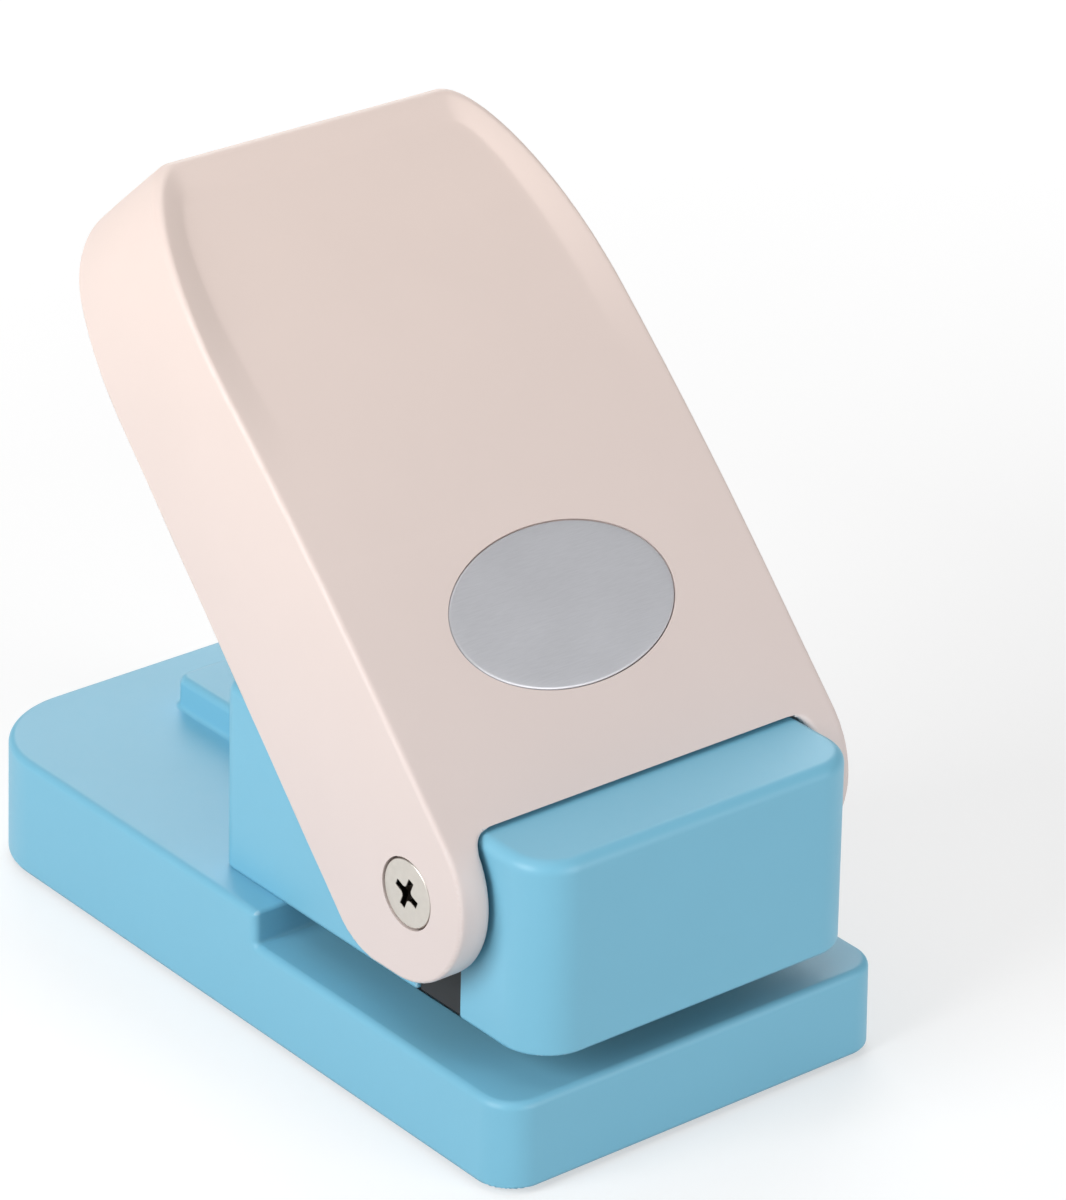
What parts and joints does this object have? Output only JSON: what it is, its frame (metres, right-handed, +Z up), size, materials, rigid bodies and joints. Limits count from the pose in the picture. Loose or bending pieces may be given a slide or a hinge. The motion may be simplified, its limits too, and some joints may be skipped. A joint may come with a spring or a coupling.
{
  "type": "index tab punch",
  "caption": "Hand-lever paper punch: a raised lever over a box head drives a tab-shaped cutter through a sheet in the slot above a flat base.",
  "frame": {"origin": "on the table surface under the middle of the base", "axes": "+X to the right, +Y from the open front of the paper slot to the rear, +Z up"},
  "size_m": [0.0606, 0.1128, 0.1043],
  "materials": {
    "blue_plastic": "satin moulded",
    "cream_plastic": "satin moulded",
    "plaque_silver": "satin",
    "nickel_screw": "nickel plated",
    "dark_steel": "blackened",
    "tool_steel": "ground",
    "spring_wire": "drawn wire",
    "bush_brass": "turned",
    "cast_zinc": "as cast",
    "foot_rubber": "matte"
  },
  "bodies": {
    "base": {"base_shell": "blue_plastic", "bottom_cover": "blue_plastic", "rubber_feet": "foot_rubber", "cover_screws": "nickel_screw", "die_plate": "tool_steel", "spacer_bar": "tool_steel", "punch_frame": "dark_steel", "stack_bolts": "nickel_screw", "die_screws": "nickel_screw", "guide_pillar_front": "tool_steel", "guide_pillar_rear": "tool_steel", "return_spring_front": "spring_wire", "return_spring_rear": "spring_wire", "bush_left": "bush_brass", "bush_right": "bush_brass", "head_housing": "blue_plastic", "housing_front_screws": "nickel_screw", "housing_rear_screws": "nickel_screw"},
    "lever": {"lever_shell": "cream_plastic", "plaque": "plaque_silver", "pivot_screws": "nickel_screw", "axle": "tool_steel", "cam_left": "cast_zinc", "cam_right": "cast_zinc", "cam_pins": "tool_steel"},
    "punch": {"crosshead": "cast_zinc", "punch_block": "tool_steel", "punch_screws": "nickel_screw"}
  },
  "joints": [
    {"name": "lever_press", "type": "hinge", "parent": "base", "child": "lever", "pos_m": [0, -0.0374, 0.0336], "axis": [-1, 0, 0], "range_deg": [0, 40], "stiffness_Nm_per_rad": 0.35, "springref_deg": -20.05},
    {"name": "punch_slide", "type": "slide", "parent": "base", "child": "punch", "axis": [0, 0, -1], "range_m": [0, 0.0057], "deforming": ["return_spring_front", "return_spring_rear"]}
  ],
  "couplings": [
    {"joint": "punch_slide", "follows": "lever_press", "m_per_rad": 0.0081646}
  ]
}
